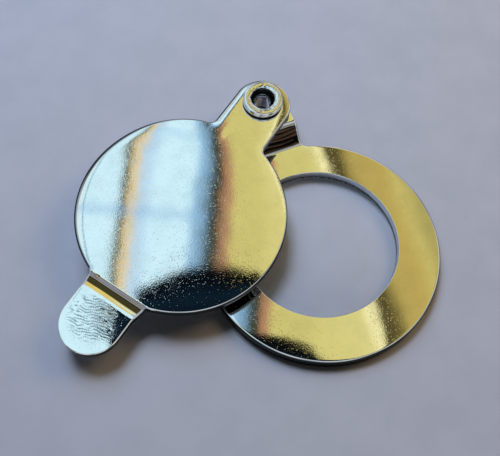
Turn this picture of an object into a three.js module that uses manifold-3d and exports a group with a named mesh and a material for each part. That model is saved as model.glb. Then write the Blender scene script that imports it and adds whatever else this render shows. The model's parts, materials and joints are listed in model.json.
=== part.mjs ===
// Jewelers loupe: a lens in a flat ring, and a round metal cover that swings over it on a hollow rivet.
// Millimetres, +Z up. The ring lies on its underside, and its raised ear with the rivet points to +Y.
// The cover stands open, as it is when the loupe is laid down on a bench.
import * as THREE from 'three';
import { mergeVertices } from 'three/addons/utils/BufferGeometryUtils.js';
import Module from 'manifold-3d';

const wasm = await Module();
wasm.setup();

// ---- driving dimensions ----
const clearAperture = 20.5; // diameter of the opening that the lens fills
const holeShift = 0.7; // the opening sits this far from the ring's centre, towards the rivet
const rivetToRing = 20.7; // rivet to the centre of the ring
const rivetToCover = 19.05; // rivet to the centre of the cover's disc
const openAngle = THREE.MathUtils.degToRad(54.7); // the cover's angle from shut

// both plates end in an ear with a round end about the rivet
const ring = {
  outerRadius: 15.35,
  thickness: 1.75,
  earHalfWidth: 3.7,
  earHeight: 4.65, // top of the raised ear at the rivet
  lean: THREE.MathUtils.degToRad(3), // the ear dips towards the ring, so the shut cover lies close to it
  foldLow: 5.6, // the two folds of the step up to the ear, measured from the rivet
  foldHigh: 3.45,
  lip: 1.1, // the lens bears up against this lip
  seatRadius: clearAperture / 2 + 0.6, // the wider bore under the lip
};
const cover = {
  radius: 13.4,
  thickness: 1,
  earHalfWidth: 3.85,
  tabHalfWidth: 3.9,
  tabOffset: -0.82, // the thumb tab sits a little to one side
  tabEndCentre: 36.6, // from the rivet to the centre of the tab's round end
  tabFlare: 0.62, // one side widens by this much towards the disc
  step: [[31.7, 0], [32.5, 0.75], [33.8, 1.05]], // distance from the rivet, drop of the top face
};
const lens = { radius: 10.75, edge: 0.2, underside: 0.28, frontRadius: 52 };
const snapRing = {
  innerRadius: 10.25,
  outerRadius: 10.8,
  thickness: 0.21,
  underside: 0.03,
  halfSplit: 0.09, // half the angle of the gap, in radians
};
const washer = { innerRadius: 1.6, outerRadius: 3, thickness: 0.18 };
const rivet = {
  boreRadius: 1.1,
  barrelRadius: 1.5,
  holeRadius: 1.56, // the hole that it passes through in each ear
  flangeRadius: 2.8,
  flangeHeight: 1,
};
const playGap = 0.04; // air between faces that rest or slide on each other

const segments = 40; // steps in half a circle
const smallSegments = 20;
const past = 3; // how far a cutting block runs past what it cuts

// heights along the rivet's axis, from the top face of the ring's ear
const washerBottom = playGap;
const coverBottom = washerBottom + washer.thickness + playGap;
const coverTop = coverBottom + cover.thickness;

// ---- joining and cutting ----
function toSolid(geometry) {
  const bare = geometry.clone();
  bare.deleteAttribute('normal');
  bare.deleteAttribute('uv');
  const merged = mergeVertices(bare, 1e-5);
  const vertProperties = new Float32Array(merged.attributes.position.array);
  const triVerts = new Uint32Array(merged.index.array);
  return new wasm.Manifold(new wasm.Mesh({ numProp: 3, vertProperties, triVerts }));
}

function toGeometry(solid) {
  const mesh = solid.getMesh();
  const geometry = new THREE.BufferGeometry();
  geometry.setAttribute('position', new THREE.BufferAttribute(mesh.vertProperties, 3));
  geometry.setIndex(new THREE.BufferAttribute(mesh.triVerts, 1));
  geometry.computeVertexNormals();
  return geometry;
}

// ---- outlines and blocks ----
// a flat outline in XY made into a block from z = low up to z = high
function block(shape, low, high, curveSegments = segments) {
  const options = { depth: high - low, bevelEnabled: false, curveSegments };
  return new THREE.ExtrudeGeometry(shape, options).translate(0, 0, low);
}

function circle(y, radius) {
  const shape = new THREE.Shape();
  shape.absarc(0, y, radius, 0, 2 * Math.PI);
  return shape;
}

// an ear's outline: a round end about the rivet, and straight sides down to farY
function earOutline(rivetY, halfWidth, farY) {
  const shape = new THREE.Shape();
  shape.moveTo(-halfWidth, farY);
  shape.lineTo(halfWidth, farY);
  shape.absarc(0, rivetY, halfWidth, 0, Math.PI);
  shape.closePath();
  return shape;
}

// the top line of a bent sheet, as (y, z) points with rising y, moved down square to itself
function lowerLine(top, thickness) {
  const down = top.slice(1).map((point, i) => {
    const along = point.clone().sub(top[i]).normalize();
    return new THREE.Vector2(along.y, -along.x);
  });
  return top.map((point, i) => {
    const before = down[Math.max(i - 1, 0)];
    const after = down[Math.min(i, down.length - 1)];
    const mitre = before.clone().add(after).divideScalar(1 + before.dot(after));
    return point.clone().addScaledVector(mitre, thickness);
  });
}

// a wide sheet of even thickness, bent along lines that run across Y
function bentSheet(topPoints, thickness, width) {
  const top = topPoints.map(([y, z]) => new THREE.Vector2(y, z));
  const outline = new THREE.Shape([...lowerLine(top, thickness), ...top.reverse()]);
  const turnToYZ = new THREE.Matrix4().set(0, 0, 1, 0, 1, 0, 0, 0, 0, 1, 0, 0, 0, 0, 0, 1);
  return block(outline, -width / 2, width / 2).applyMatrix4(turnToYZ);
}

// ---- the ring that holds the lens, with its raised ear ----
// the rivet's axis stands on the ear's top face and leans with it
function placeOnEar(geometry) {
  return geometry.rotateX(ring.lean).translate(0, rivetToRing, ring.earHeight);
}

function makeRing() {
  const slope = Math.tan(ring.lean);
  const foldHighY = rivetToRing - ring.foldHigh;
  const topLine = [
    [-ring.outerRadius - past, ring.thickness],
    [rivetToRing - ring.foldLow, ring.thickness],
    [foldHighY, ring.earHeight - ring.foldHigh * slope],
    [rivetToRing + 2 * past, ring.earHeight + 2 * past * slope],
  ];
  const sheet = toSolid(bentSheet(topLine, ring.thickness, 2 * ring.outerRadius + past));
  const high = ring.earHeight + past;
  const ear = earOutline(rivetToRing, ring.earHalfWidth, rivetToRing - ring.foldLow - past);
  const outline = toSolid(block(circle(0, ring.outerRadius), -past, high))
    .add(toSolid(block(ear, -past, high, smallSegments)));
  const opening = toSolid(block(circle(holeShift, clearAperture / 2), -past, high));
  const lensSeat = toSolid(block(circle(holeShift, ring.seatRadius), -past, ring.thickness - ring.lip));
  const rivetHole = toSolid(placeOnEar(block(circle(0, rivet.holeRadius), -2 * past, past, smallSegments)));
  return toGeometry(sheet.intersect(outline).subtract(opening).subtract(lensSeat).subtract(rivetHole));
}

// ---- the cover: disc, ear and stepped thumb tab in one sheet, drawn with its rivet hole at x = y = 0 ----
function tabOutline() {
  const shape = new THREE.Shape();
  const rootY = -cover.step[0][0];
  const narrowY = -cover.step[2][0];
  const right = cover.tabOffset + cover.tabHalfWidth;
  shape.moveTo(right + cover.tabFlare, rootY + past);
  shape.lineTo(cover.tabOffset - cover.tabHalfWidth, rootY + past);
  shape.absarc(cover.tabOffset, -cover.tabEndCentre, cover.tabHalfWidth, Math.PI, 2 * Math.PI);
  shape.lineTo(right, narrowY);
  shape.lineTo(right + cover.tabFlare, rootY);
  shape.closePath();
  return shape;
}

function makeCover() {
  const farY = -cover.tabEndCentre - cover.tabHalfWidth - past;
  const tabDrop = cover.step[2][1];
  const stepLine = cover.step.map(([distance, drop]) => [-distance, coverTop - drop]).reverse();
  const topLine = [[farY, coverTop - tabDrop], ...stepLine, [2 * past, coverTop]];
  const sheet = toSolid(bentSheet(topLine, cover.thickness, 2 * cover.radius + past));
  const outline = toSolid(block(circle(-rivetToCover, cover.radius), -past, past))
    .add(toSolid(block(earOutline(0, cover.earHalfWidth, -rivetToCover), -past, past, smallSegments)))
    .add(toSolid(block(tabOutline(), -past, past, smallSegments)));
  const rivetHole = toSolid(block(circle(0, rivet.holeRadius), -past, past, smallSegments));
  // the disc keeps its full round edge beside the tab, where the sheet itself steps down
  const disc = toSolid(block(circle(-rivetToCover, cover.radius), coverBottom, coverTop));
  const beyondFold = new THREE.BoxGeometry(2 * cover.radius + 2 * past, 2 * past, 2 * past);
  const beside = disc.intersect(toSolid(beyondFold.translate(0, -cover.step[0][0] - past, 0)));
  return toGeometry(sheet.intersect(outline).add(beside).subtract(rivetHole));
}

// ---- lens, its snap ring, the washer and the rivet ----
// a flat-backed lens: flat underside, short straight edge, and a front that is part of a sphere
function makeLens() {
  const rise = lens.frontRadius - Math.sqrt(lens.frontRadius ** 2 - lens.radius ** 2);
  const crown = lens.underside + lens.edge + rise;
  const halfAngle = Math.asin(lens.radius / lens.frontRadius);
  const profile = new THREE.Path();
  profile.moveTo(0, lens.underside);
  profile.lineTo(lens.radius, lens.underside);
  profile.absarc(0, crown - lens.frontRadius, lens.frontRadius, Math.PI / 2 - halfAngle, Math.PI / 2);
  return new THREE.LatheGeometry(profile.getPoints(6), 2 * segments).rotateX(Math.PI / 2);
}

// a flat spring ring, open at one place so that it can be squeezed into the seat
function makeSnapRing() {
  const shape = new THREE.Shape();
  const start = -Math.PI / 2 + snapRing.halfSplit;
  const end = 1.5 * Math.PI - snapRing.halfSplit;
  shape.absarc(0, holeShift, snapRing.outerRadius, start, end);
  shape.absarc(0, holeShift, snapRing.innerRadius, end, start, true);
  shape.closePath();
  return block(shape, snapRing.underside, snapRing.underside + snapRing.thickness);
}

function makeWasher() {
  const shape = circle(0, washer.outerRadius);
  shape.holes.push(circle(0, washer.innerRadius));
  return placeOnEar(block(shape, washerBottom, washerBottom + washer.thickness, smallSegments));
}

// a hollow rivet, both ends rolled outwards: the profile runs round the metal once, as (radius, height)
function makeRivet() {
  const bulge = rivet.flangeHeight / 2;
  const rollCentre = rivet.flangeRadius - bulge;
  const topFace = coverTop + playGap;
  const bottomFace = -ring.thickness - playGap;
  const profile = new THREE.Path();
  profile.moveTo(rivet.barrelRadius, bottomFace);
  profile.lineTo(rivet.barrelRadius, topFace);
  profile.lineTo(rollCentre, topFace);
  profile.absarc(rollCentre, topFace + bulge, bulge, -Math.PI / 2, Math.PI / 2);
  profile.quadraticCurveTo(rivet.boreRadius, topFace + bulge, rivet.boreRadius, topFace - bulge);
  profile.lineTo(rivet.boreRadius, bottomFace + bulge);
  profile.quadraticCurveTo(rivet.boreRadius, bottomFace - bulge, rollCentre, bottomFace - 2 * bulge);
  profile.absarc(rollCentre, bottomFace - bulge, bulge, -Math.PI / 2, Math.PI / 2);
  profile.closePath();
  const geometry = new THREE.LatheGeometry(profile.getPoints(5), 2 * smallSegments);
  return placeOnEar(geometry.rotateX(Math.PI / 2));
}

// ---- materials ----
const chrome = new THREE.MeshStandardMaterial({ color: 0xd8dadd, metalness: 1, roughness: 0.07 });
const brightChrome = new THREE.MeshStandardMaterial({ color: 0xdcdcd8, metalness: 1, roughness: 0.1 });
const springSteel = new THREE.MeshStandardMaterial({ color: 0xb9bcc0, metalness: 1, roughness: 0.25 });
const glass = new THREE.MeshStandardMaterial({
  color: 0xf4f8f7, roughness: 0.02, metalness: 0, transparent: true, opacity: 0.2,
});

function named(name, geometry, material) {
  const mesh = new THREE.Mesh(geometry, material);
  mesh.name = name;
  return mesh;
}

// ---- assembly ----
const lensMesh = named('lens', makeLens(), glass);
lensMesh.position.y = holeShift;

const coverSwing = new THREE.Group(); // turns about the rivet's axis; at zero the cover is shut
coverSwing.rotation.z = -openAngle;
coverSwing.add(named('cover_plate', makeCover(), chrome));

const rivetAxis = new THREE.Group(); // stands on the ear's top face and leans with it
rivetAxis.position.set(0, rivetToRing, ring.earHeight);
rivetAxis.rotation.x = ring.lean;
rivetAxis.add(coverSwing);

const body = new THREE.Group();
body.add(
  named('lens_ring', makeRing(), chrome),
  lensMesh,
  named('lens_snap_ring', makeSnapRing(), springSteel),
  named('ear_washer', makeWasher(), springSteel),
  named('hollow_rivet', makeRivet(), brightChrome),
  rivetAxis,
);

// the origin is on the table, under the middle of the whole loupe as it lies open
body.updateMatrixWorld(true);
const extent = new THREE.Box3().setFromObject(body, true);
body.position.x = -(extent.min.x + extent.max.x) / 2;
body.position.y = -(extent.min.y + extent.max.y) / 2;

const loupe = new THREE.Group();
loupe.add(body);
loupe.updateMatrixWorld(true);

export default loupe;
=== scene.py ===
"""The looks of the jewelers loupe: a chromed ring, cover and rivet round a clear lens, on a pale table.

Every piece is built here in millimetres, in its own plain frame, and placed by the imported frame's joint
and boxes.
"""
import json
import math
from math import pi

import bpy
import numpy as np
from mathutils import Matrix, Vector, geometry


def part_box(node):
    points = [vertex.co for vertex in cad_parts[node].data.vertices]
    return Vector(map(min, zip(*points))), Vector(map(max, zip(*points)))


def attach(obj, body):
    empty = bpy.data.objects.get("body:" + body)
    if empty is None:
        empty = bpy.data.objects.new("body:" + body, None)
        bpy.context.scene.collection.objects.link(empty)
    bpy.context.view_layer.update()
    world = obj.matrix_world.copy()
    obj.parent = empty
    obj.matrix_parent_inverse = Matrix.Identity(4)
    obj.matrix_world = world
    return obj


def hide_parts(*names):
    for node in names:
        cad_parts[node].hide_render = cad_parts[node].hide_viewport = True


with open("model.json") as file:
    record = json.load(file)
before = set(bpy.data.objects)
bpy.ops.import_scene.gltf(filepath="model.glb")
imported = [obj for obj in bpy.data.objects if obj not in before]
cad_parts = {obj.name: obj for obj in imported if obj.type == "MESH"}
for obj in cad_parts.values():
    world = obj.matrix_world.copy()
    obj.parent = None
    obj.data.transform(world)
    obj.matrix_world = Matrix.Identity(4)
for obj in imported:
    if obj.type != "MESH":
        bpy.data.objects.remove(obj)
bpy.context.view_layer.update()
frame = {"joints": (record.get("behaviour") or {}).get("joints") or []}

MM = 0.001

# ---- places, from the frame ----
joint = frame["joints"][0]
pivot = np.array(joint["pos_m"]) / MM  # on the top face of the ring's ear, in the middle of the rivet
LEAN = math.atan2(-joint["axis"][1], joint["axis"][2])  # the ear and the cover dip towards the ring
OPEN_ANGLE = math.radians(54.7)  # the cover's angle from shut
ring_low, ring_high = (np.array(corner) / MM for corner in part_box("lens_ring"))

# ---- sizes, in millimetres, as in the CAD solids ----
RING_RADIUS = (ring_high[0] - ring_low[0]) / 2
RING_CENTRE = np.array([pivot[0], ring_low[1] + RING_RADIUS])
RING_THICKNESS = 1.75
RIVET_TO_RING = pivot[1] - RING_CENTRE[1]
EAR_TOP = pivot[2]
RING_EAR, COVER_EAR = 3.7, 3.85  # half widths
FOLD_LOW, FOLD_HIGH = 5.6, 3.45  # the two folds below the ear, measured from the rivet
OPENING_RADIUS, OPENING_SHIFT = 10.25, 0.7
SEAT_RADIUS, LIP = 10.85, 1.1
COVER_RADIUS, RIVET_TO_COVER, COVER_THICKNESS = 13.4, 19.05, 1.0
TAB_HALF_WIDTH, TAB_OFFSET, TAB_END = 3.9, -0.82, 36.6  # TAB_END: from the rivet to its round end's middle
TAB_ROOT_Y, TAB_DROP = -31.7, 1.05  # where the step down starts, and how far down it goes
TAB_NARROW_Y, TAB_FLARE = -33.8, 0.62  # where the flare on the right ends, and its width at the disc
WASHER_BOTTOM, WASHER_THICKNESS, PLAY = 0.04, 0.18, 0.04
COVER_BOTTOM = WASHER_BOTTOM + WASHER_THICKNESS + PLAY
COVER_TOP = COVER_BOTTOM + COVER_THICKNESS
RIVET_HOLE = 1.56
# the solids' cover lies square; here it leans within the rivet's play, and falls this steeply along x and y
COVER_TILT = (0.0125, 0.0072)


def srgb(red, green, blue, gain=1.0):
    """A colour given as 0 to 255 display values, as linear light."""
    return tuple(gain * (c / 255 / 12.92 if c <= 10 else ((c / 255 + 0.055) / 1.055) ** 2.4)
                 for c in (red, green, blue))


def smooth_step(value, low, high):
    t = np.clip((value - low) / (high - low), 0, 1)
    return t * t * (3 - 2 * t)


def unit(rows):
    return rows / np.linalg.norm(rows, axis=1, keepdims=True)


# ---- outlines ----
# An outline is a closed line of (x, y, tangent x, tangent y) rows. The metal is always on its left.
STEP = 0.24  # from one point to the next
BEND_POINTS = 9


def arc(centre, radius, start, end, trim_start=0.0, trim_end=0.0, step=STEP):
    """An arc from angle start to end, shortened by trim at its ends."""
    turn = math.copysign(1, end - start)
    start, end = start + turn * trim_start / radius, end - turn * trim_end / radius
    angle = np.linspace(start, end, max(3, int(abs(end - start) * radius / step) + 1))
    cos, sin = np.cos(angle), np.sin(angle)
    return np.column_stack([centre[0] + radius * cos, centre[1] + radius * sin, -turn * sin, turn * cos])


def line(start, end, trim_start=0.0, trim_end=0.0):
    """A straight stretch from start to end, shortened by trim at its ends."""
    start, end = np.array(start, float), np.array(end, float)
    length = np.linalg.norm(end - start)
    along = (end - start) / length
    at = np.linspace(trim_start, length - trim_end, max(2, int(length / STEP) + 1))
    return np.column_stack([start[0] + along[0] * at, start[1] + along[1] * at,
                            np.full(len(at), along[0]), np.full(len(at), along[1])])


def corner(before, point, after):
    """A smooth bend from the end of one stretch to the start of the next, drawn towards the corner point."""
    p0, p1, p2 = before[-1, :2], np.array(point, float), after[0, :2]
    t = np.linspace(0, 1, BEND_POINTS)[1:-1, None]
    at = (1 - t) ** 2 * p0 + 2 * t * (1 - t) * p1 + t ** 2 * p2
    way = (1 - t) * (p1 - p0) + t * (p2 - p1)
    return np.column_stack([at, unit(way)])


def closed(stretches, points):
    """The stretches as a closed line, with a bend after each one whose entry in points isn't None."""
    rows = []
    for i, stretch in enumerate(stretches):
        after = stretches[(i + 1) % len(stretches)]
        if points[i] is None:
            rows.append(stretch[:-1])
        else:
            rows.extend([stretch, corner(stretch, points[i], after)])
    return np.vstack(rows)


def hole(centre, radius, step=STEP):
    """A round hole, drawn clockwise so that the metal is on the left."""
    return arc(centre, radius, 2 * pi, 0, step=step)[:-1]


def ring_outline():
    fillet = 1.0
    junction = (RING_EAR, math.sqrt(RING_RADIUS ** 2 - RING_EAR ** 2))
    left = (-junction[0], junction[1])
    angle = math.atan2(junction[1], junction[0])
    return closed([
        arc((0, RIVET_TO_RING), RING_EAR, 0, pi, step=0.18),
        line((-RING_EAR, RIVET_TO_RING), left, trim_end=fillet),
        arc((0, 0), RING_RADIUS, pi - angle, 2 * pi + angle, fillet, fillet),
        line(junction, (RING_EAR, RIVET_TO_RING), trim_start=fillet),
    ], [None, left, junction, None])


def cover_outline():
    fillet, small = 0.7, 0.4  # at the ear and at the tab
    centre = (0, -RIVET_TO_COVER)

    def on_disc(x, side):
        """The point of the disc's edge at x, on the ear's side (1) or the tab's side (-1), and its angle."""
        y = side * math.sqrt(COVER_RADIUS ** 2 - x ** 2)
        return (x, centre[1] + y), math.atan2(y, x)
    left, right = TAB_OFFSET - TAB_HALF_WIDTH, TAB_OFFSET + TAB_HALF_WIDTH
    ear_left, ear_left_angle = on_disc(-COVER_EAR, 1)
    ear_right, ear_right_angle = on_disc(COVER_EAR, 1)
    root_left, root_left_angle = on_disc(left, -1)
    root_right, root_right_angle = on_disc(right + TAB_FLARE, -1)
    narrow = (right, TAB_NARROW_Y)
    return closed([
        arc((0, 0), COVER_EAR, 0, pi, step=0.18),
        line((-COVER_EAR, 0), ear_left, trim_end=fillet),
        arc(centre, COVER_RADIUS, ear_left_angle, root_left_angle + 2 * pi, fillet, small),
        line(root_left, (left, -TAB_END), small),
        arc((TAB_OFFSET, -TAB_END), TAB_HALF_WIDTH, pi, 2 * pi, step=0.14),
        line((right, -TAB_END), narrow, trim_end=small),
        line(narrow, root_right, small, small),
        arc(centre, COVER_RADIUS, root_right_angle, ear_right_angle, small, fillet),
        line(ear_right, (COVER_EAR, 0), trim_start=fillet),
    ], [None, ear_left, root_left, None, None, narrow, root_right, ear_right, None])


# ---- sheet metal ----
def bent_line(points, blend):
    """The height z(y) through the given (y, z) points, each bend rounded over its half width in blend."""
    points = np.array(points, float)
    slopes = np.diff(points[:, 1]) / np.diff(points[:, 0])

    def height(y):
        y = np.asarray(y, float)
        which = np.clip(np.searchsorted(points[:, 0], y) - 1, 0, len(slopes) - 1)
        z = points[which, 1] + slopes[which] * (y - points[which, 0])
        for i, half in enumerate(blend):
            at, change = points[i + 1, 0], slopes[i + 1] - slopes[i]
            near = np.abs(y - at) < half
            rounded = points[i + 1, 1] + slopes[i] * (y - at) + change * (y - at + half) ** 2 / (4 * half)
            z = np.where(near, rounded, z)
        return z
    return height


def lower_points(points, thickness):
    """The points of a bent sheet's lower line, moved square to its upper line."""
    points = np.array(points, float)
    along = unit(np.diff(points, axis=0))
    down = np.column_stack([along[:, 1], -along[:, 0]])
    first, last = np.vstack([down[:1], down]), np.vstack([down, down[-1:]])
    mitre = (first + last) / (1 + (first * last).sum(1, keepdims=True))
    return points + mitre * thickness


def surface_normal(height, x, y):
    """The unit normal of the surface z = height(x, y)."""
    h = 0.002
    dx = (height(x + h, y) - height(x - h, y)) / (2 * h)
    dy = (height(x, y + h) - height(x, y - h)) / (2 * h)
    return unit(np.column_stack([-dx, -dy, np.ones_like(dx)]))


def edge_rows(inset, roll_width, roll_depth, top_radius, bottom_radius):
    """Rows across an edge, from the top face round to the bottom face: (inset, level, dz, tilt).

    level is 1 on the top face and 0 on the bottom face, and tilt turns the normal from the face outwards.
    The top face first rolls gently down over roll_width, and then round a tighter curve into the wall.
    """
    roll_width, roll_depth, top_radius = (np.asarray(v, float) for v in (roll_width, roll_depth, top_radius))

    def roll(s):
        return roll_depth * (np.maximum(roll_width - s, 0) / roll_width) ** 2

    def roll_tilt(s):
        return np.arctan(2 * roll_depth * np.maximum(roll_width - s, 0) / roll_width ** 2)
    rows = []
    turn = np.zeros_like(roll_width + roll_depth)
    for _ in range(12):  # closes in on where the roll's slope meets the tighter curve
        start = top_radius * (1 - np.sin(turn))
        turn = roll_tilt(start)
    start = top_radius * (1 - np.sin(turn))
    for share in np.linspace(0, 1, 9):
        s = inset + (start - inset) * share
        rows.append((s, 1, -roll(s), roll_tilt(s)))
    top = roll(start) - top_radius * (1 - np.cos(turn))
    for share in np.linspace(0, 1, 9)[1:]:
        tilt = turn + (pi / 2 - turn) * share
        rows.append((top_radius * (1 - np.sin(tilt)), 1, -top - top_radius * (1 - np.cos(tilt)), tilt))
    for share in np.linspace(1, 0, 6):
        tilt = pi / 2 * share
        rows.append((bottom_radius * (1 - math.sin(tilt)), 0, bottom_radius * (1 - math.cos(tilt)), tilt))
    rows.append((inset, 0, 0.0, 0.0))
    return rows


def rivet_hole(y):
    return hole((0, y), RIVET_HOLE, 0.16), edge_rows(0.3, 0.3, 0.0, 0.08, 0.08)


def seat_rows(inset, top_radius):
    """Rows down the opening's lip, out along the lens seat and down to the bottom face."""
    shelf, width = RING_THICKNESS - LIP, SEAT_RADIUS - OPENING_RADIUS
    corner_gap, bottom_radius = 0.04, 0.1
    rows = [(inset + (top_radius - inset) * share, 1, 0.0, 0.0) for share in np.linspace(0, 1, 4)]
    for tilt in np.linspace(0, pi / 2, 7)[1:]:
        rows.append((top_radius * (1 - math.sin(tilt)), 1, -top_radius * (1 - math.cos(tilt)), tilt))
    rows.append((0.0, 0, shelf + corner_gap, pi / 2))
    rows.append((0.0, 0, shelf, pi * 0.75))
    rows.append((width, 0, shelf, pi * 0.75))
    rows.append((width, 0, shelf - corner_gap, pi / 2))
    for tilt in np.linspace(pi / 2, 0, 5):
        across, rise = bottom_radius * (1 - math.sin(tilt)), bottom_radius * (1 - math.cos(tilt))
        rows.append((width + across, 0, rise, tilt))
    rows.append((inset, 0, 0.0, 0.0))
    return rows


CLEARANCE = 0.12  # inner points keep this far from the outlines' inner rows
COARSE = 0.62  # between one inner point and the next


def band(here, there, size):
    """Faces between two closed rows of points, which start at here and at there."""
    return [(here + i, there + i, there + (i + 1) % size, here + (i + 1) % size) for i in range(size)]


def sheet_metal(name, loops, top, bottom, inner_points):
    """A plate between two height surfaces. loops are (outline, rows) pairs; inner_points fill its faces."""
    points, normals, faces, inner = [], [], [], []
    count = 0
    for outline, rows in loops:
        size = len(outline)
        inward = np.column_stack([-outline[:, 3], outline[:, 2]])
        for number, (inset, level, dz, tilt) in enumerate(rows):
            inset, dz, tilt = (np.broadcast_to(v, size)[:, None] for v in (inset, dz, tilt))
            at = outline[:, :2] + inward * inset
            face = top if level else bottom
            z = face(at[:, 0], at[:, 1]) + dz[:, 0]
            up = surface_normal(face, at[:, 0], at[:, 1]) * (1 if level else -1)
            out = np.column_stack([-inward, np.zeros(size)])
            normal = up * np.cos(tilt) + out * np.sin(tilt)
            points.append(np.column_stack([at, z]))
            normals.append(unit(normal))
            if number:
                here = count + number * size
                faces.extend(band(here - size, here, size))
        inner.append((points[-len(rows)][:, :2], count, count + (len(rows) - 1) * size))
        count += len(rows) * size
    # both faces share one triangulation of the plan
    plan, top_index, bottom_index, edges = [], [], [], []
    for at, top_start, bottom_start in inner:
        first, size = len(plan), len(at)
        plan.extend(Vector(p) for p in at)
        edges.extend((first + i, first + (i + 1) % size) for i in range(size))
        top_index.extend(range(top_start, top_start + size))
        bottom_index.extend(range(bottom_start, bottom_start + size))
    rings = [np.array(at) for at, _, _ in inner]
    filling = [p for p in inner_points if inside(p, rings, CLEARANCE)]
    plan.extend(Vector(p) for p in filling)
    filling = np.array(filling)
    for face, level, index in ((top, 1, top_index), (bottom, -1, bottom_index)):
        points.append(np.column_stack([filling, face(filling[:, 0], filling[:, 1])]))
        normals.append(surface_normal(face, filling[:, 0], filling[:, 1]) * level)
        index.extend(range(count, count + len(filling)))
        count += len(filling)
    found = geometry.delaunay_2d_cdt(plan, edges, [], 0, 1e-7)
    if len(found[0]) != len(plan):
        raise ValueError(f"{name}: the plan's points don't stay single")
    order = [given[0] for given in found[3]]
    for triangle in found[2]:
        a, b, c = (order[i] for i in triangle)
        middle = (plan[a] + plan[b] + plan[c]) / 3
        if not inside(middle, rings, 0.0):
            continue
        if (plan[b] - plan[a]).cross(plan[c] - plan[a]) < 0:
            b, c = c, b
        faces.append((top_index[a], top_index[b], top_index[c]))
        faces.append((bottom_index[a], bottom_index[c], bottom_index[b]))
    return name, np.vstack(points), faces, np.vstack(normals)


def inside(point, rings, margin):
    """True if a plan point is within the first ring and outside the others, by at least the margin."""
    x, y = point[0], point[1]
    for number, ring in enumerate(rings):
        ax, ay = ring[:, 0], ring[:, 1]
        bx, by = np.roll(ax, -1), np.roll(ay, -1)
        crossing = (ay > y) != (by > y)
        safe = np.where(crossing, by - ay, 1.0)
        hits = crossing & (x < (bx - ax) * (y - ay) / safe + ax)
        if (hits.sum() % 2 == 1) != (number == 0):
            return False
        if margin and np.hypot(ax - x, ay - y).min() < margin:
            return False
    return True


def grid(x_values, y_values):
    return [(x, y) for y in y_values for x in x_values]


def spaced(start, end, *fine):
    """Values from start to end at a coarse step, and at the finer steps given as (low, high, step)."""
    stops = list(np.arange(start, end, COARSE))
    for low, high, step in fine:
        stops = [v for v in stops if not low - 0.2 < v < high + 0.2]
        stops.extend(np.arange(low, high, step))
    return sorted(stops)


# ---- turned pieces ----
def turned(name, profile, segments, wobble=None):
    """A closed (radius, height) profile turned about Z; wobble gives changes of radius and height."""
    profile = np.array(profile, float)
    angle = np.arange(segments) * 2 * pi / segments
    points = []
    for number, (radius, height) in enumerate(profile):
        change = wobble(number, angle, radius) if wobble else (0.0, 0.0)
        r, z = radius + change[0], height + change[1]
        points.append(np.column_stack([r * np.cos(angle), r * np.sin(angle), np.broadcast_to(z, segments)]))
    faces = []
    for i in range(len(profile)):
        faces.extend(band(i * segments, (i + 1) % len(profile) * segments, segments))
    return name, np.vstack(points), faces, None


def rounded_profile(corners, radii):
    """A closed (radius, height) profile through the corners, each rounded by its radius."""
    corners = np.array(corners, float)
    rows = []
    for i, at in enumerate(corners):
        to_last, to_next = corners[i - 1] - at, corners[(i + 1) % len(corners)] - at
        to_last, to_next = to_last / np.linalg.norm(to_last), to_next / np.linalg.norm(to_next)
        start, end = at + to_last * radii[i], at + to_next * radii[i]
        for t in np.linspace(0, 1, 4):
            rows.append((1 - t) ** 2 * start + 2 * t * (1 - t) * at + t ** 2 * end)
    return rows


# ---- placing ----
def placed_on_ear(angle=0.0):
    """From a frame on the ear's top face, in the middle of the rivet, to the part's frame."""
    return Matrix.Translation(pivot) @ Matrix.Rotation(LEAN, 4, "X") @ Matrix.Rotation(angle, 4, "Z")


def add_object(name, data):
    thing = bpy.data.objects.new(name, data)
    bpy.context.scene.collection.objects.link(thing)
    return thing


def make_piece(shape, place, material, body, slot, *nodes, dirt_and_shade=None):
    """Puts a built shape in place as a mesh in metres under its body, and hides its CAD nodes; slot is not
    used.

    The last argument gives, at each point of the built shape, a level of tarnish and painted shade, which
    chrome() reads.
    """
    name, points, faces, normals = shape
    shades = dirt_and_shade(points, normals) if dirt_and_shade else np.zeros(len(points))
    place = np.array(place, float)
    points = (points @ place[:3, :3].T + place[:3, 3]) * MM
    mesh = bpy.data.meshes.new(name)
    mesh.from_pydata([tuple(p) for p in points], [], faces)
    mesh.polygons.foreach_set("use_smooth", [True] * len(mesh.polygons))
    mesh.update()
    mesh.attributes.new("dirt_and_shade", "FLOAT", "POINT").data.foreach_set("value", shades.astype(np.float32))
    if normals is not None:
        turned_normals = normals @ place[:3, :3].T
        mesh.normals_split_custom_set_from_vertices([tuple(n) for n in turned_normals])
    mesh.materials.append(material)
    piece = add_object(name, mesh)
    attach(piece, body)
    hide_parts(*nodes)


# ---- the ring ----
TARNISH_AND_SHADE, PAINTED_EDGE_SHADE, PAINTED_BLACK_SHADE = 0.5, 0.94, 1.0  # levels of tarnish, painted edge shade and painted black shade, which chrome() turns into colours


def waviness(x, y, size):
    """Very slight unevenness of a polished face, in millimetres."""
    return size * (np.sin(0.71 * x + 0.32 * y + 0.4) + 0.8 * np.sin(-0.38 * x + 0.83 * y + 2.1)
                   + 0.35 * np.sin(1.9 * x - 0.7 * y) + 0.3 * np.sin(1.1 * x + 2.2 * y + 1.0))


def edge_painted_shade(normals, start=0.95, reach=0.15):
    """Painted shade on the edges, standing for the dark that they mirror: it comes in as the normal's upward
    share falls by reach below start.
    """
    up = normals[:, 2]
    return PAINTED_EDGE_SHADE * smooth_step(-up, -start, reach - start) * smooth_step(up, -0.995, -0.93)


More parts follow.
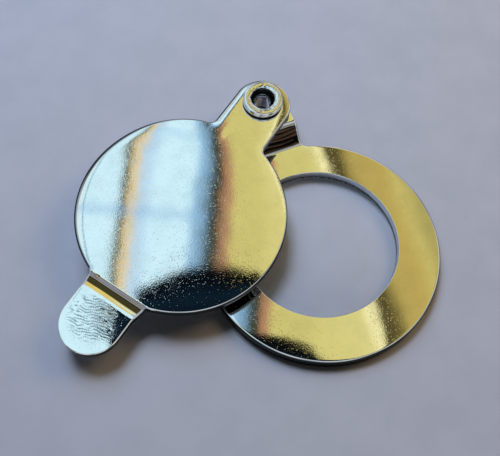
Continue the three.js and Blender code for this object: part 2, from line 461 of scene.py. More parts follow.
def ring_painted_shade(points, normals):
    """The outer edge is painted dark as painted shade, and the lens seat is painted black as painted shadow.
    The opening's wall was turned and polished.
    """
    from_opening = np.hypot(points[:, 0], points[:, 1] - OPENING_SHIFT)
    on_ring = smooth_step(-points[:, 1], -RIVET_TO_RING + 7.5, -RIVET_TO_RING + 8.5)
    # the lens seat under the lip is painted black: a painted shadow
    seat_shadow = (from_opening < SEAT_RADIUS + 0.05) & (points[:, 2] < RING_THICKNESS - LIP + 0.01)
    # the outer edge is painted dark: painted shade
    outer_edge_shade = edge_painted_shade(normals, 0.5 + 0.42 * on_ring) * (from_opening > SEAT_RADIUS + 0.5)
    return np.maximum(outer_edge_shade, PAINTED_BLACK_SHADE * seat_shadow)


def ring_shape():
    slope = math.tan(LEAN)
    far = 30.0  # past the ends of the plate
    upper = [(-far, RING_THICKNESS), (RIVET_TO_RING - FOLD_LOW, RING_THICKNESS),
             (RIVET_TO_RING - FOLD_HIGH, EAR_TOP - FOLD_HIGH * slope),
             (RIVET_TO_RING + far, EAR_TOP + far * slope)]
    top_line = bent_line(upper, (0.22, 0.42))
    bottom_line = bent_line(lower_points(upper, RING_THICKNESS), (0.5, 0.3))
    fold_middle = RIVET_TO_RING - (FOLD_LOW + FOLD_HIGH) / 2

    def top(x, y):
        # the step bulges a little, with faint uneven lines along it, left by the press
        near = np.exp(-((y - fold_middle) / 1.1) ** 2)
        streaks = 0.009 * np.sin(7.5 * y + 0.5 * np.sin(0.8 * x)) * (0.6 + 0.4 * np.sin(1.7 * x + 0.8))
        streaks += 0.005 * np.sin(17 * y + 0.9 * np.sin(1.3 * x))
        return top_line(y) + waviness(x, y, 0.0011) + near * (streaks + 0.05)

    def bottom(x, y):
        return bottom_line(y)

    x_values = spaced(-RING_RADIUS, RING_RADIUS)
    y_values = spaced(-RING_RADIUS, RIVET_TO_RING + 3,
                      (RIVET_TO_RING - FOLD_LOW - 0.4, RIVET_TO_RING - FOLD_HIGH + 0.5, 0.07))
    outer = ring_outline()
    loops = [
        (outer, edge_rows(0.6, 0.45, 0.012, 0.3, 0.12)),
        (hole((0, OPENING_SHIFT), OPENING_RADIUS), seat_rows(1.0, 0.09)),
        rivet_hole(RIVET_TO_RING),
    ]
    return sheet_metal("polished_lens_ring", loops, top, bottom, grid(x_values, y_values))


# ---- the cover ----
WRINKLE_TURN = 20  # degrees from the tab's x axis
WRINKLE_HEIGHT = 0.0022  # millimetres


def wrinkles(x, y):
    """The wrinkles across the tab's face, at most 1.7 up or down, and their strength at each place."""
    turn = math.radians(WRINKLE_TURN)
    u = x * math.cos(turn) + y * math.sin(turn)
    v = -x * math.sin(turn) + y * math.cos(turn)
    bend = 0.13 * np.sin(1.7 * u + 0.6) + 0.06 * np.sin(4.3 * u + 2.1 * v)
    ridge = np.sin(18 * (v + bend)) * (0.55 + 0.45 * np.sin(2.8 * u + 6 * v))
    ridge += 0.7 * np.sin(23 * (v + 0.7 * bend) + 1.0) * (0.5 + 0.5 * np.sin(3.3 * u - 7 * v + 2.0))
    away = np.hypot((x - TAB_OFFSET + 0.3) / 3.2, (y + TAB_END - 0.5) / 3.1)
    return ridge, 1 - smooth_step(away, 0.72, 1.1)


def towards_side(x, y, degrees, width):
    """1 on the disc's side at an angle from its x axis, falling off over width degrees round it."""
    towards = np.arctan2(y + RIVET_TO_COVER, x)
    away = (towards - math.radians(degrees) + pi) % (2 * pi) - pi
    return np.exp(-(away / math.radians(width)) ** 2)


def cover_shape():
    # steep just past the fold, then easing out into the flat tab
    step = [(TAB_ROOT_Y, 0), (TAB_ROOT_Y - 0.40, -0.52), (TAB_ROOT_Y - 1.15, -0.88),
            (TAB_ROOT_Y - 1.80, -TAB_DROP)]
    step_line = bent_line([(-60, -TAB_DROP)] + step[::-1] + [(20, 0)], (0.15, 0.2, 0.12, 0.1))

    def lift(x, y):
        return -COVER_TILT[0] * x - COVER_TILT[1] * y

    def ear_twist(x, y):
        """The ear's face leans a little more than the disc's, past a faint crease."""
        return 0.65 * lift(x, y) * smooth_step(y, -14.5, -5.0)

    def drawn_lines(x, y):
        """Faint lines that the press has drawn across the step."""
        on_step = smooth_step(-y, -TAB_ROOT_Y + 0.3, -TAB_ROOT_Y + 0.7) * smooth_step(y, TAB_NARROW_Y, -33.3)
        return 0.004 * np.sin(12.5 * y + 0.6 * np.sin(0.9 * x)) * on_step

    def top(x, y):
        ridge, strength = wrinkles(x, y)
        # a small dent where the ear meets the disc
        dent = 0.004 * np.exp(-((x + 1.5) / 0.16) ** 2 - ((y + 6.6) / 0.8) ** 2)
        return (COVER_TOP + step_line(y) + lift(x, y) + ear_twist(x, y) + waviness(x, y, 0.0009)
                + WRINKLE_HEIGHT * ridge * strength + drawn_lines(x, y) - dent)

    def bottom(x, y):
        return COVER_BOTTOM + step_line(y + 0.35) + lift(x, y)

    outer = cover_outline()
    x, y = outer[:, 0], outer[:, 1]
    on_ear_left = smooth_step(-x, 1.5, 3.3) * smooth_step(y, -7.2, -5.0)
    on_ear = smooth_step(y, -7.2, -5.0)
    on_tab = smooth_step(-y, -TAB_NARROW_Y - 0.8, -TAB_NARROW_Y + 0.2)
    roll_width = 1.5 - 0.4 * on_ear - 0.85 * on_tab
    off_disc = np.maximum(on_ear, on_tab)
    # the press has drawn the disc's edge down more on the left, and the ear's left edge most of all
    left_roll = towards_side(x, y, -160, 50)
    roll_depth = 0.016 + 0.032 * left_roll * (1 - off_disc) + 0.084 * on_ear_left
    left_edge = 0.26 * towards_side(x, y, -150, 40) + 0.5 * towards_side(x, y, 165, 32)
    top_radius = 0.26 + left_edge * (1 - off_disc) - 0.08 * on_tab + 0.2 * on_ear_left
    loops = [
        (outer, edge_rows(1.62, roll_width, roll_depth, top_radius, 0.1)),
        rivet_hole(0),
    ]
    tab_low, tab_side = -TAB_END - TAB_HALF_WIDTH, TAB_HALF_WIDTH - TAB_OFFSET
    inner = grid(spaced(-COVER_RADIUS, COVER_RADIUS), spaced(TAB_ROOT_Y + 0.5, 3))
    inner += grid(np.arange(-tab_side, tab_side, 0.3), np.arange(TAB_NARROW_Y, TAB_ROOT_Y + 0.45, 0.08))
    inner += grid(np.arange(-tab_side, tab_side, 0.1), np.arange(tab_low, TAB_NARROW_Y - 0.06, 0.1))
    return sheet_metal("polished_cover", loops, top, bottom, inner)


def cover_tarnish_and_shade(points, normals):
    """Painted shade on the edges, and in the hollows of the tab's wrinkles a teal grey that is partly tarnish
    and partly painted reflection shade.
    """
    x, y = points[:, 0], points[:, 1]
    ridge, strength = wrinkles(x, y)
    # in the wrinkles' hollows: tarnish, and painted reflection shade
    in_hollow = strength * smooth_step(-ridge, -0.05, 0.5) * (normals[:, 2] > 0.9) * (y < TAB_ROOT_Y)
    on_ear_right = smooth_step(x, 0.0, 1.0) * smooth_step(y, -7.0, -6.0)
    on_disc = smooth_step(y, TAB_ROOT_Y - 0.2, TAB_ROOT_Y + 0.4) * (1 - on_ear_right)
    on_left = towards_side(x, y, 165, 40) * on_disc
    on_ear_left = smooth_step(-x, 1.5, 3.0) * smooth_step(y, -7.2, -5.0)
    # on the left, where the edge is rolled, the painted edge shade comes in over a narrower band
    reach = 0.15 - 0.11 * np.maximum(on_left, on_ear_left)
    edges = edge_painted_shade(normals, 0.5 + 0.45 * on_disc + 0.043 * on_left, reach)
    return np.maximum(0.9 * TARNISH_AND_SHADE * in_hollow, edges)


# ---- rivet, washer, lens and snap ring ----
RIVET_BORE, RIVET_BARREL, TORN_EDGE = 1.1, 1.5, 1.64  # radii
FLANGE_RADIUS, FLANGE_HEIGHT = 2.7, 0.92  # drawn a little smaller than the solid's, which is 2.8 by 1
ROLLED_ASIDE = np.array([0.13, 0.29])  # how far the flange and bore are pressed off the barrel's middle


def rivet_shape():
    bulge = FLANGE_HEIGHT / 2
    crest = 2.15
    top, bottom = COVER_TOP + PLAY, -RING_THICKNESS - PLAY
    # a flattened roll from under the flange up to its crest: (radius, height above the face it bears on)
    roll = []
    for angle in np.linspace(-pi / 2, pi / 2, 24):
        across, up = abs(math.cos(angle)) ** 0.55, math.copysign(abs(math.sin(angle)) ** 0.55, angle)
        roll.append((crest + (FLANGE_RADIUS - crest) * across, bulge + bulge * up))
    # from the crest inwards over the torn edge, and down the funnel into the bore: (radius, depth)
    mouth = [(1.95, 0.012), (1.82, 0.03), (TORN_EDGE + 0.01, 0.055), (TORN_EDGE - 0.02, 0.10), (1.68, 0.20),
             (1.58, 0.36), (1.45, 0.54), (1.32, 0.74), (1.21, 0.95), (1.13, 1.2), (RIVET_BORE, 1.45)]
    profile = [(RIVET_BARREL, z) for z in (*np.linspace(bottom, top - 0.03, 5), top)]
    profile.extend((radius, top + height) for radius, height in roll)
    torn = len(profile) + 2
    profile.extend((radius, top + FLANGE_HEIGHT - depth) for radius, depth in mouth)
    profile.extend((RIVET_BORE, z) for z in np.linspace(top - 0.6, bottom + 0.6, 5))
    profile.extend((radius, bottom - FLANGE_HEIGHT + depth) for radius, depth in mouth[::-1])
    profile.extend((radius, bottom - height) for radius, height in roll[::-1])

    def uneven(number, angle, radius):
        """The split and pressed metal at the rolled lip, and the flange's slight unroundness."""
        number = len(profile) - 1 - number  # the profile is turned in reverse, so that it faces outwards
        at_edge = math.exp(-((number - torn) / 2.2) ** 2)
        ragged = 0.050 * np.sin(5 * angle + 1.0) + 0.035 * np.sin(9 * angle + 2.0)
        ragged += 0.025 * np.sin(17 * angle)
        swell = 0.012 * np.sin(3 * angle + 0.5) * (radius > RIVET_BARREL + 0.1)
        return at_edge * ragged - np.abs(swell), -at_edge * 0.4 * np.abs(ragged)
    name, points, faces, normals = turned("rolled_rivet", profile[::-1], 120, uneven)
    moved = (points[:, 2] > top - 0.01) | (np.hypot(points[:, 0], points[:, 1]) < RIVET_BARREL - 0.1)
    points[moved, :2] += ROLLED_ASIDE
    return name, points, faces, normals


def rivet_painted_shade(points, normals):
    """Painted black shade inside the funnels, and painted shadow under the flanges."""
    radius, z = np.hypot(*(points[:, :2] - ROLLED_ASIDE).T), points[:, 2]
    # painted black shade down the funnels
    funnel = smooth_step(-radius, -TORN_EDGE, -TORN_EDGE + 0.06) * smooth_step(radius, 1.13, 1.24)
    # painted shadow where the flanges bear on the plates
    above = np.maximum(z - COVER_TOP - PLAY, -RING_THICKNESS - PLAY - z)
    crevice_shadow = (radius > RIVET_BARREL + 0.1) * smooth_step(-above, -0.42, -0.22)
    return PAINTED_BLACK_SHADE * np.maximum(funnel, crevice_shadow)


def washer_shape():
    inner, outer = 1.6, 3.0
    low = WASHER_BOTTOM - 0.015  # it lies close to the ring's ear, clear of the leaning cover
    high = low + WASHER_THICKNESS
    corners = [(inner, low), (inner, high), (outer, high), (outer, low)]
    return turned("spring_washer", rounded_profile(corners, [0.04, 0.04, 0.07, 0.07]), 72)


def lens_profile():
    """From the middle of the flat underside, round the rim and over the domed front: (radius, height)."""
    radius, edge, underside, front = 10.75, 0.2, 0.28, 52.0
    rim_z = underside + edge
    profile = [(0.0, underside), (radius * 0.5, underside), (radius - 0.05, underside),
               (radius, underside + 0.05), (radius, rim_z - 0.04)]
    sag = math.sqrt(front ** 2 - radius ** 2)
    for r in np.linspace(radius - 0.05, 0, 22):
        profile.append((r, rim_z + math.sqrt(front ** 2 - r ** 2) - sag))
    profile[-1] = (0.0, profile[-1][1])
    return profile


def solid_of_revolution(name, profile, segments):
    """An open profile from axis to axis turned about Z: the two end points become single poles."""
    angle = np.arange(segments) * 2 * pi / segments
    points = [(0, 0, profile[0][1])]
    for radius, height in profile[1:-1]:
        points.extend((radius * math.cos(a), radius * math.sin(a), height) for a in angle)
    points.append((0, 0, profile[-1][1]))
    last = len(points) - 1
    faces = []
    for j in range(segments):
        k = (j + 1) % segments
        faces.append((0, 1 + k, 1 + j))
        for i in range(len(profile) - 3):
            here, there = 1 + i * segments, 1 + (i + 1) * segments
            faces.append((here + j, here + k, there + k, there + j))
        faces.append((last - segments + j, last - segments + k, last))
    return name, np.array(points, float), faces, None


def snap_ring_shape():
    """A flat split ring with rounded edges and square ends."""
    inner, outer, low, high, half_split = 10.25, 10.8, 0.03, 0.24, 0.09
    section = rounded_profile([(inner, low), (inner, high), (outer, high), (outer, low)], [0.05] * 4)
    start = -pi / 2 + half_split
    angles = np.linspace(start, start + 2 * pi - 2 * half_split, 150)
    points = [(r * math.cos(a), r * math.sin(a), z) for a in angles for r, z in section]
    size = len(section)
    faces = [tuple(range(size - 1, -1, -1)), tuple(range(len(points) - size, len(points)))]
    for i in range(len(angles) - 1):
        for j in range(size):
            k = (j + 1) % size
            faces.append((i * size + j, i * size + k, (i + 1) * size + k, (i + 1) * size + j))
    return "lens_spring_clip", np.array(points), faces, None


# ---- materials ----
class Nodes:
    """Short calls for building a node tree."""

    def __init__(self, tree):
        self.tree = tree
        tree.nodes.clear()

    def add(self, kind, inputs=None, **settings):
        node = self.tree.nodes.new("ShaderNode" + kind)
        for key, value in settings.items():
            setattr(node, key, value)
        for key, value in (inputs or {}).items():
            self.feed(node.inputs[key], value)
        return node

    def feed(self, socket, value):
        if isinstance(value, bpy.types.NodeSocket):
            self.tree.links.new(value, socket)
        elif isinstance(value, (tuple, list)) and len(value) == 3 and socket.type == "RGBA":
            socket.default_value = (*value, 1)
        else:
            socket.default_value = value

    def output(self, shader):
        self.add("OutputMaterial", {"Surface": shader.outputs[0]})

    def surface(self, colour, roughness, normal, **more):
        inputs = {"Base Color": colour, "Roughness": roughness, "Normal": normal, **more}
        self.output(self.add("BsdfPrincipled", inputs))

    def math(self, operation, *values, clamp=False):
        node = self.add("Math", operation=operation, use_clamp=clamp)
        for socket, value in zip(node.inputs, values):
            self.feed(socket, value)
        return node.outputs[0]

    def times(self, first, second):
        return self.math("MULTIPLY", first, second)

    def minus(self, first, second):
        return self.math("SUBTRACT", first, second)

    def gap(self, first, second):
        """How far apart two values are."""
        return self.math("ABSOLUTE", self.minus(first, second))

    def step(self, value, low, high, to_low=0.0, to_high=1.0):
        """value mapped from low..high to to_low..to_high, smoothly and clamped."""
        node = self.add("MapRange", interpolation_type="SMOOTHSTEP", clamp=True)
        for socket, given in zip(node.inputs, (value, low, high, to_low, to_high)):
            self.feed(socket, given)
        return node.outputs[0]

    def mix(self, share, first, second, blend="MIX"):
        node = self.add("Mix", data_type="RGBA", blend_type=blend)
        for socket, value in ((node.inputs[0], share), (node.inputs[6], first), (node.inputs[7], second)):
            self.feed(socket, value)
        return node.outputs[2]

    def product(self, first, second):
        return self.mix(1.0, first, second, "MULTIPLY")

    def ramp(self, value, stops, low=0.0, high=1.0):
        """A colour ramp over low..high with (place, colour) stops."""
        span = high - low
        share = self.math("DIVIDE", self.minus(value, low), span, clamp=True)
        node = self.add("ValToRGB")
        bar = node.color_ramp
        while len(bar.elements) > 1:
            bar.elements.remove(bar.elements[-1])
        for number, (place, colour) in enumerate(stops):
            at = (place - low) / span
            element = bar.elements[0] if number == 0 else bar.elements.new(at)
            element.position = at
            element.color = (*colour, 1)
        self.feed(node.inputs[0], share)
        return node.outputs[0]

    def noise(self, vector, scale, detail, roughness):
        node = self.add("TexNoise", {"Scale": scale, "Detail": detail, "Roughness": roughness})
        self.feed(node.inputs["Vector"], vector)
        return node.outputs["Fac"]

    def bump(self, height, distance, before=None):
        node = self.add("Bump", {"Strength": 1.0, "Distance": distance, "Height": height})
        if before is not None:
            self.feed(node.inputs["Normal"], before)
        return node.outputs[0]


def new_material(name):
    material = bpy.data.materials.new(name)
    material.use_nodes = True
    n = Nodes(material.node_tree)
    return material, n, n.add("TexCoord").outputs["Object"]


CHROME_COLOUR, RIVET_COLOUR = (0.82, 0.825, 0.83), (0.82, 0.825, 0.82)
# the first is partly tarnish and partly painted shade; the second is black painted shade and shadow
TARNISH_AND_SHADE_COLOUR, PAINTED_BLACK_SHADE_COLOUR = (0.25, 0.33, 0.37), (0.012, 0.012, 0.014)


def chrome(name, tint, roughness, grain, wear=1.0):
    """Bright plate: fine grain with raised specks, haze in patches, fine straight scratches, and tarnish and
    painted shade read from the mesh.
    """
    material, n, place = new_material(name)
    dirt_and_shade = n.add("Attribute", attribute_type="GEOMETRY", attribute_name="dirt_and_shade").outputs["Fac"]
    peel = n.noise(place, 2600, 1.5, 0.55)
    fine = n.noise(place, 6500, 1.5, 0.6)
    broad = n.noise(place, 130, 2.0, 0.5)
    haze = n.noise(place, 420, 3.0, 0.6)
    cells = n.add("TexVoronoi", {"Vector": place, "Scale": 5600.0})
    # most specks are faint, and a few are strong
    chance = n.add("SeparateColor", {"Color": cells.outputs["Color"]}).outputs[0]
    speck = n.times(n.math("POWER", chance, 3.0), n.step(cells.outputs["Distance"], 0.42, 0.04))
    # scratches: thin level lines of noise that is stretched along one direction
    turned_place = n.add("Mapping", {"Vector": place, "Rotation": (0.0, 0.0, 0.9),
                                     "Scale": (1.0, 0.04, 1.0)}).outputs[0]
    line_noise = n.noise(turned_place, 1900, 2.0, 0.5)
    scratch = n.minus(1.0, n.step(n.gap(line_noise, 0.5), 0.0, 0.006))
    scratch = n.times(scratch, n.step(haze, 0.52, 0.66))
    clean = n.mix(n.step(haze, 0.35, 0.7), tint, tuple(0.94 * c for c in tint))
    # the mesh's level turns the plate towards teal grey (tarnish and painted shade), then towards black
    # (painted shade and shadow)
    tarnished_and_shaded = n.mix(n.step(dirt_and_shade, 0.0, TARNISH_AND_SHADE), clean, TARNISH_AND_SHADE_COLOUR)
    colour = n.mix(n.step(dirt_and_shade, TARNISH_AND_SHADE, PAINTED_BLACK_SHADE), tarnished_and_shaded, PAINTED_BLACK_SHADE_COLOUR)
    rough = n.math("ADD", n.step(haze, 0.45, 0.75, roughness, roughness + 0.02 * wear),
                   n.times(scratch, 0.06 * wear))
    rough = n.math("ADD", rough, n.times(dirt_and_shade, 0.35))
    normal = n.bump(broad, 2e-6)
    normal = n.bump(peel, 0.3e-6 * grain, normal)
    normal = n.bump(fine, 0.8e-6 * grain, normal)
    normal = n.bump(speck, 1.7e-6 * grain, normal)
    n.surface(colour, rough, normal, Metallic=1.0)
    return material


def spring_steel():
    """Plain steel with fine marks of rolling."""
    material, n, place = new_material("plain_spring_steel")
    stretched = n.add("Mapping", {"Vector": place, "Scale": (1.0, 0.06, 1.0)}).outputs[0]
    marks = n.noise(stretched, 9000, 3.0, 0.6)
    patches = n.noise(place, 500, 3.0, 0.6)
    colour = n.mix(patches, srgb(176, 178, 180), srgb(196, 197, 198))
    rough = n.step(marks, 0.3, 0.7, 0.22, 0.36)
    n.surface(colour, rough, n.bump(marks, 1.2e-6), Metallic=1.0)
    return material


def lens_glass():
    """Coated optical glass: nearly clear straight on, and more of a mirror at a glancing view."""
    material, n, place = new_material("clear_lens_glass")
    smear = n.noise(place, 240, 3.0, 0.55)
    shine = n.add("BsdfGlossy", {"Color": srgb(236, 240, 246),
                                 "Roughness": n.step(smear, 0.4, 0.75, 0.015, 0.06)})
    through = n.add("BsdfTransparent", {"Color": (0.994, 0.997, 0.996)})
    weight = n.add("Fresnel", {"IOR": 1.25}).outputs[0]
    mixed = n.add("MixShader")
    n.feed(mixed.inputs[0], weight)
    n.feed(mixed.inputs[1], through.outputs[0])
    n.feed(mixed.inputs[2], shine.outputs[0])
    n.output(mixed)
    return material


def table_top():
    """Matt paper-white laminate with a faint mottle."""
    material, n, place = new_material("pale_table")
    mottle = n.noise(place, 160, 4.0, 0.6)
    fibre = n.noise(place, 2400, 2.0, 0.6)
    colour = n.mix(n.step(mottle, 0.3, 0.7), srgb(190, 191, 197), srgb(196, 196, 202))
    rough = n.step(fibre, 0.3, 0.7, 0.8, 0.95)
    n.surface(colour, rough, n.bump(fibre, 6e-6), **{"Specular IOR Level": 0.15})
    return material


# ---- what the chrome mirrors ----
# A direction is told by (a, b): how far it leans to the right and away from the viewer, over its height.
# The viewer is the photo's, at a fixed azimuth, so the room stays where it is in every view.
VIEW_AZIMUTH = math.radians(-24.85)
VIEW_RIGHT = (math.cos(VIEW_AZIMUTH), math.sin(VIEW_AZIMUTH), 0.0)
VIEW_AHEAD = (-math.sin(VIEW_AZIMUTH), math.cos(VIEW_AZIMUTH), 0.0)
PLATE = 1.22  # mirrored things are this much brighter than they show in the chrome
DARK_STRIPS, FIRST_STRIP = 8, -0.987  # upright dark strips round the studio, and where the first one is


def greys(*stops):
    return [(place, (value,) * 3) for place, value in stops]


def leanings(n):
    """How far a direction goes to the view's right, ahead and up."""
    way = n.add("TexCoord").outputs["Generated"]

    def along(axis):
        node = n.add("VectorMath", operation="DOT_PRODUCT")
        n.feed(node.inputs[0], way)
        n.feed(node.inputs[1], axis)
        return node.outputs["Value"]
    return along(VIEW_RIGHT), along(VIEW_AHEAD), along((0.0, 0.0, 1.0))


def room_colours(n):
    """A window on the left, a warm wall on the right, and the dark shape of the person who looks on."""
    right, ahead, up = leanings(n)
    high = n.math("MAXIMUM", up, 0.03)
    a, b = n.math("DIVIDE", right, high), n.math("DIVIDE", ahead, high)

    def lit(*colour):
        return srgb(*colour, gain=PLATE)

    def mirrored(value, stops, low=0.0, high=1.0):
        """A ramp of colours as they show in the chrome, with (place, red, green, blue) stops."""
        return n.ramp(value, [(place, lit(*colour)) for place, *colour in stops], low, high)
    cyan, blue, gold = (206, 240, 250), (146, 190, 220), (207, 196, 118)
    window = mirrored(a, [
        (-0.50, 222, 226, 214), (-0.30, 222, 230, 222), (-0.225, *cyan), (-0.216, 96, 134, 156),
        (-0.207, *cyan), (-0.141, *cyan), (-0.135, 64, 80, 72), (-0.128, 95, 96, 70), (-0.124, 226, 202, 148),
        (-0.111, 228, 208, 165), (-0.107, 184, 212, 234), (-0.092, 190, 224, 243), (-0.084, *cyan),
        (-0.028, *cyan), (-0.018, *blue), (0.002, 112, 146, 170), (0.007, 58, 72, 62), (0.020, 62, 62, 48),
        (0.025, 165, 122, 90), (0.036, 178, 132, 98), (0.043, *gold), (0.09, 204, 194, 118),
        (0.14, 212, 203, 124)], -0.5, 0.5)

    def bar_at(place):
        """One of the window's two faint bars."""
        return n.minus(1.0, n.step(n.gap(b, place), 0.004, 0.012))
    in_window = n.step(a, 0.01, 0.0)
    upper = n.times(bar_at(0.484), n.step(a, -0.110, -0.104))
    bars = n.math("MAXIMUM", n.times(bar_at(0.372), 0.45), n.times(upper, 0.28))
    window = n.mix(n.times(bars, in_window), window, lit(130, 175, 215))
    # the window's lower left is plain
    in_plain = n.times(n.step(b, 0.242, 0.222), n.step(a, -0.05, -0.09))
    window = n.mix(in_plain, window, lit(*cyan))
    # the wall on the right, past a slanting door frame
    slant = n.math("ADD", a, n.times(n.minus(b, 0.339), 0.288))
    wall = mirrored(slant, [
        (0.0, *gold), (0.12, 212, 203, 126), (0.180, 216, 207, 132), (0.192, 246, 238, 178),
        (0.202, 236, 226, 162), (0.207, 82, 74, 42), (0.224, 84, 74, 40), (0.238, 146, 132, 70),
        (0.248, 180, 160, 88), (0.29, 188, 166, 88), (0.315, 198, 184, 106), (0.335, 172, 160, 94),
        (0.42, 186, 166, 90), (0.60, 205, 190, 120), (0.80, 236, 228, 186), (1.0, 230, 222, 190)])
    near = n.mix(n.step(a, 0.085, 0.11), window, wall)
    # the dark onlooker, below a rounded outline that drops off at the left
    outline = n.ramp(a, greys(
        (-0.5, 0.0), (-0.20, 0.10), (-0.143, 0.222), (-0.088, 0.250), (-0.068, 0.264), (-0.046, 0.277),
        (-0.022, 0.285), (0.002, 0.290), (0.035, 0.293), (0.065, 0.291), (0.085, 0.285), (0.106, 0.274),
        (0.13, 0.25), (0.30, 0.18), (0.5, 0.08)), -0.5, 0.5)
    below = n.step(n.minus(outline, b), -0.002, 0.003)
    shoulder = n.minus(0.025, n.times(b, 0.9))
    hip = n.minus(n.times(b, 0.75), 0.118)
    left_edge = n.step(b, 0.219, 0.225, n.math("MINIMUM", shoulder, hip), -0.096)
    below = n.times(below, n.step(n.minus(a, left_edge), 0.0, 0.005))
    depth = n.minus(outline, b)
    person = mirrored(depth, [(0.0, 4, 5, 8), (0.02, 6, 10, 16), (0.05, 12, 30, 42), (0.10, 10, 22, 34),
                              (0.15, 4, 5, 8), (0.20, 120, 128, 140), (0.24, 186, 192, 200)])
    near = n.mix(below, near, person)
    # further round, by compass angle, given in half turns
    angle = n.math("ARCTAN2", ahead, right)

    def round_about(*stops):
        return n.ramp(angle, [(place * pi, colour) for place, colour in stops], -pi, pi)
    studio = mirrored(up, [
        (0.0, 56, 58, 64), (0.05, 86, 88, 94), (0.12, 196, 200, 206), (0.30, 236, 239, 241),
        (0.45, 222, 226, 230), (0.56, 206, 212, 218), (0.60, 150, 158, 168), (0.64, 192, 199, 206),
        (1.0, 218, 224, 230)])
    strips = []
    for number in range(DARK_STRIPS):
        middle = FIRST_STRIP + 2 * number / DARK_STRIPS
        strips += greys((middle - 0.065, 1.0), (middle - 0.02, 0.42),
                        (middle + 0.012, 0.36), (middle + 0.03, 0.74))
    cast = round_about((-1.0, (0.80, 0.93, 1.0)), (-0.5, (1.0, 0.97, 0.92)), (-0.05, (1.0, 0.94, 0.78)),
                       (0.35, (0.98, 0.98, 0.93)), (0.6, (0.90, 0.97, 1.0)), (1.0, (0.80, 0.93, 1.0)))
    tint = n.product(cast, round_about(*strips))
    far = n.product(studio, tint)
    # behind the viewer's left shoulder: a lit doorway over dark furniture
    doorway = mirrored(up, [
        (0.0, 104, 94, 92), (0.25, 160, 156, 150), (0.45, 120, 116, 96), (0.50, 16, 16, 14),
        (0.62, 16, 16, 14), (0.66, 60, 58, 36), (0.79, 62, 60, 38), (0.82, 150, 130, 62),
        (0.85, 214, 190, 100), (0.93, 225, 208, 134), (0.95, 226, 238, 236), (1.0, *cyan)])
    # it leans round to the left as it rises
    middle = n.math("ADD", n.step(up, 0.50, 0.75, -0.753 * pi, -0.773 * pi),
                    n.step(up, 0.75, 0.96, 0.0, -0.09 * pi))
    far = n.mix(n.step(n.gap(angle, middle), 0.07 * pi, 0.05 * pi), far, doorway)
    # behind the viewer's right: a dark corner with a brown sill
    low = mirrored(up, [(0.12, 10, 9, 9), (0.25, 8, 7, 7), (0.29, 64, 50, 38), (0.33, 64, 50, 38),
                        (0.40, 10, 9, 8), (0.50, 10, 9, 8)])
    in_corner = n.step(n.gap(angle, -0.258 * pi), 0.065 * pi, 0.04 * pi)
    in_corner = n.times(in_corner, n.times(n.step(up, 0.08, 0.13), n.step(up, 0.52, 0.44)))
    far = n.mix(in_corner, far, low)
    # the near things reach this far out from straight up, and past that the far ones show
    reach = n.math("SQRT", n.math("ADD", n.times(a, a), n.times(b, b)))
    limit = round_about(*greys((-1.0, 0.42), (-0.5, 0.40), (0.0, 0.40), (0.25, 0.70), (0.5, 0.85),
                               (0.70, 0.55), (0.83, 0.50), (1.0, 0.42)))
    return n.mix(n.step(n.minus(reach, limit), -0.03, 0.10), near, far)


AMBIENT, AMBIENT_BEHIND_VIEWER = 0.72, 0.06  # strengths of the even light


def make_world():
    """The room shows in polished metal. Other surfaces get an even light, and the view a plain backdrop."""
    world = bpy.data.worlds.new("room")
    world.use_nodes = True
    n = Nodes(world.node_tree)
    path = n.add("LightPath")
    # the even light is cooler on the window's side, and weaker on the viewer's side
    right, ahead, up = leanings(n)
    cool, warm = srgb(118, 128, 146, gain=AMBIENT), srgb(134, 124, 100, gain=AMBIENT)
    even = n.mix(n.step(right, -0.8, 0.8), cool, warm)
    even = n.mix(n.step(ahead, -0.35, 0.65), srgb(134, 126, 102, gain=AMBIENT_BEHIND_VIEWER), even)
    soft = n.mix(path.outputs["Is Camera Ray"], even, srgb(150, 155, 168))
    colour = n.mix(path.outputs["Is Glossy Ray"], soft, room_colours(n))
    light = n.add("Background", {"Color": colour, "Strength": 1.0})
    n.add("OutputWorld", {"Surface": light.outputs[0]})
    bpy.context.scene.world = world


# ---- camera and lights ----
CAMERA_HEIGHT = 81.54
PIVOT_RIGHT, PIVOT_AHEAD = 0.73, 54.29  # where the rivet is, seen from the point under the camera
CAMERA_TILT = math.radians(25.169)  # from straight down
CAMERA_ROLL = math.radians(3.1257)
LENS_WIDTH_RATIO = 674.91 / 500  # focal length over the picture's width


def make_camera():
    right, ahead = Vector(VIEW_RIGHT), Vector(VIEW_AHEAD)
    data = bpy.data.cameras.new("camera")
    data.sensor_width = 36.0
    data.lens = data.sensor_width * LENS_WIDTH_RATIO
    data.clip_start, data.clip_end = 0.005, 10.0
    camera = add_object("camera", data)
    at = Vector(pivot) - right * PIVOT_RIGHT - ahead * PIVOT_AHEAD
    at.z = CAMERA_HEIGHT
    camera.location = at * MM
    look = Matrix.Rotation(VIEW_AZIMUTH, 4, "Z") @ Matrix.Rotation(CAMERA_TILT, 4, "X")
    camera.rotation_euler = (look @ Matrix.Rotation(CAMERA_ROLL, 4, "Z")).to_euler()
    bpy.context.scene.camera = camera


def add_lamp(name, kind, a, b, energy, colour, distance=0.0):
    """A soft lamp in direction (a, b), aimed at the loupe. Polished metal doesn't show it."""
    way = (Vector(VIEW_RIGHT) * a + Vector(VIEW_AHEAD) * b + Vector((0, 0, 1))).normalized()
    data = bpy.data.lights.new(name, kind)
    data.energy, data.color = energy, colour
    lamp = add_object(name, data)
    lamp.location = way * distance
    lamp.rotation_euler = way.to_track_quat("Z", "Y").to_euler()
    lamp.visible_glossy = False
    return data


def area_light(name, a, b, distance, size, energy, colour):
    data = add_lamp(name, "AREA", a, b, energy, colour, distance)
    data.shape = "RECTANGLE"
    data.size, data.size_y = size


def sunlight(a, b, softness, strength, colour):
    """Far light, which lights the whole table."""
    add_lamp("far_window_light", "SUN", a, b, strength, colour).angle = softness


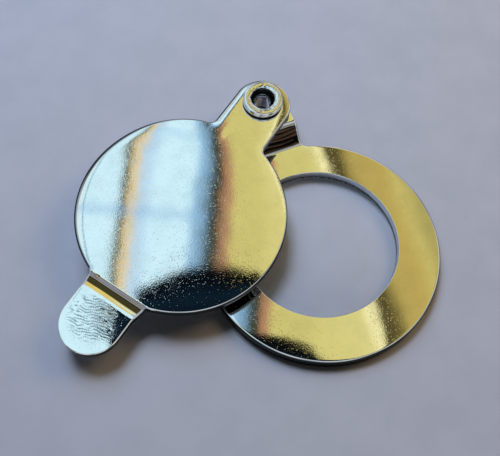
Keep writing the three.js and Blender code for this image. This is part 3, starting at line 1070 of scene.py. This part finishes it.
TABLE_HALF, TABLE_GAP = 3.0, 0.00002  # metres: half its width, and how far it lies below the loupe


def make_floor():
    corners = [(x * TABLE_HALF, y * TABLE_HALF, 0) for x, y in ((-1, -1), (1, -1), (1, 1), (-1, 1))]
    mesh = bpy.data.meshes.new("table")
    mesh.from_pydata(corners, [], [(0, 1, 2, 3)])
    mesh.materials.append(table_top())
    floor = add_object("table", mesh)
    floor.location.z = -TABLE_GAP


# ---- everything ----
make_camera()
make_world()
make_floor()
sunlight(a=-0.24, b=0.48, softness=0.34, strength=1.2, colour=srgb(214, 226, 248))
area_light("window_light", a=-0.30, b=0.62, distance=0.16, size=(0.07, 0.09), energy=0.115,
           colour=srgb(186, 214, 255))
area_light("wall_light", a=0.90, b=0.60, distance=0.26, size=(0.13, 0.13), energy=0.17,
           colour=srgb(255, 222, 170))

bright = chrome("bright_chrome", CHROME_COLOUR, 0.028, grain=0.75)
cover_finish = chrome("bright_chrome_cover", CHROME_COLOUR, 0.03, grain=1.25)
rivet_finish = chrome("bright_chrome_rivet", RIVET_COLOUR, 0.05, grain=1.0, wear=1.6)
steel = spring_steel()
glass = lens_glass()

on_ring = Matrix.Translation((*RING_CENTRE, 0))
in_opening = on_ring @ Matrix.Translation((0, OPENING_SHIFT, 0))
make_piece(ring_shape(), on_ring, bright, "ring_assembly", "ring_chrome", "lens_ring", dirt_and_shade=ring_painted_shade)
make_piece(cover_shape(), placed_on_ear(-OPEN_ANGLE), cover_finish, "cover", "cover_chrome", "cover_plate",
           dirt_and_shade=cover_tarnish_and_shade)
make_piece(rivet_shape(), placed_on_ear(), rivet_finish, "ring_assembly", "rivet_chrome", "hollow_rivet",
           dirt_and_shade=rivet_painted_shade)
make_piece(washer_shape(), placed_on_ear(), steel, "ring_assembly", "spring_steel", "ear_washer")
make_piece(solid_of_revolution("clear_lens", lens_profile(), 96), in_opening, glass, "ring_assembly",
           "lens_glass", "lens")
make_piece(snap_ring_shape(), in_opening, steel, "ring_assembly", "spring_steel", "lens_snap_ring")

bpy.context.scene.view_settings.view_transform = "Standard"
